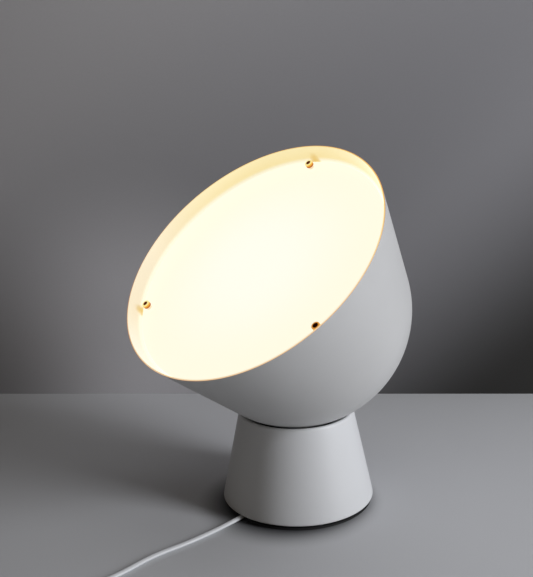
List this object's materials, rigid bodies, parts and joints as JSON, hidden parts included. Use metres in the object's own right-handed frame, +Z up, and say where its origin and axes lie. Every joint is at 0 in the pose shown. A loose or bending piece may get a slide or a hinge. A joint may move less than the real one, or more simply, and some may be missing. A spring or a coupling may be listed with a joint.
{
  "type": "table lamp",
  "caption": "Bell-shaped searchlight table lamp with an opal diffuser, whose shade turns and tilts in the dished top of a conical weighted base; mains cord with rocker switch and plug.",
  "frame": {"origin": "on the table under the axis of the conical base, at the underside of the rubber ring", "axes": "+Z up along the base's axis and the turning axis, -Y the way the shade looks at rest, X the tilting axis"},
  "size_m": [0.308, 0.4127, 0.3391],
  "materials": {
    "shade_paint": "white powder coat on steel, fine satin",
    "base_paint": "white powder coat on steel, fine satin",
    "opal": "opal acrylic, smooth, lit from behind",
    "post_white": "white moulded heads, satin",
    "zinc_steel": "bright zinc plate",
    "cast_iron": "as cast, painted grey-black",
    "pad_rubber": "matt black rubber",
    "nylon_black": "black nylon, matt",
    "cord_sheath": "pale grey-white soft PVC sheath",
    "cord_tie_white": "white plastic band",
    "moulding_white": "white moulding, satin",
    "rocker_white": "white moulding, polished",
    "brass": "plain brass strip",
    "nickel": "nickel plate",
    "bulb_plastic": "white plastic",
    "bulb_glass": "opal glass"
  },
  "bodies": {
    "base": {"base_shell": "base_paint", "base_bottom_plate": "zinc_steel", "base_plate_screws": "zinc_steel", "ballast_ring": "cast_iron", "ballast_screws": "zinc_steel", "foot_pad": "pad_rubber", "seat_ring": "nylon_black", "swivel_bridge": "zinc_steel", "pan_stop_pin": "zinc_steel", "swivel_bush": "nylon_black", "swivel_thrust_washer": "nylon_black", "cord_strain_relief": "cord_sheath", "base_lead": "cord_sheath", "cord_clamp_bar": "zinc_steel", "cord_clamp_screws": "zinc_steel", "power_cord": "cord_sheath", "switch_case_lower": "moulding_white", "switch_case_upper": "moulding_white", "switch_rocker_pin": "zinc_steel", "switch_contacts": "brass", "power_cord_tail": "cord_sheath", "power_cord_coil": "cord_sheath", "cord_tie": "cord_tie_white", "power_cord_plug_end": "cord_sheath", "plug_boot": "cord_sheath", "plug_body": "moulding_white", "plug_pins": "nickel"},
    "swivel": {"swivel_stem": "zinc_steel", "pan_stop_collar": "zinc_steel", "swivel_spring_washer": "zinc_steel", "swivel_lock_nut": "zinc_steel", "clamp_saddle": "nylon_black", "clamp_cup_springs": "zinc_steel", "clamp_nut": "zinc_steel", "stem_end_bush": "pad_rubber", "stem_lead": "cord_sheath"},
    "head": {"shade_shell": "shade_paint", "diffuser": "opal", "diffuser_tab_1": "zinc_steel", "diffuser_tab_2": "zinc_steel", "diffuser_tab_3": "zinc_steel", "diffuser_post_1": "post_white", "diffuser_post_2": "post_white", "diffuser_post_3": "post_white", "diffuser_spacers": "nylon_black", "diffuser_weld_nuts": "zinc_steel", "lampholder_strap": "zinc_steel", "lampholder_shell": "moulding_white", "lampholder_collar": "moulding_white", "lampholder_nipple": "zinc_steel", "lampholder_nut": "zinc_steel", "lampholder_contact_block": "moulding_white", "lampholder_centre_contact": "brass", "lampholder_screw_shell": "brass", "bulb_tip": "brass", "bulb_cap": "nickel", "bulb_collar": "bulb_plastic", "bulb_globe": "bulb_glass", "head_lead": "cord_sheath"},
    "rocker": {"switch_rocker": "rocker_white"}
  },
  "joints": [
    {"name": "pan", "type": "hinge", "parent": "base", "child": "swivel", "pos_m": [0, 0, 0.1888], "axis": [0, 0, 1], "range_deg": [-160, 160]},
    {"name": "tilt", "type": "hinge", "parent": "swivel", "child": "head", "pos_m": [0, 0, 0.1888], "axis": [1, 0, 0], "range_deg": [-13, 12], "deforming": ["head_lead"]},
    {"name": "switch_rock", "type": "hinge", "parent": "base", "child": "rocker", "pos_m": [0.06314, -0.28092, 0.0095], "axis": [0.2588, 0.9659, 0], "range_deg": [-14, 0]}
  ]
}
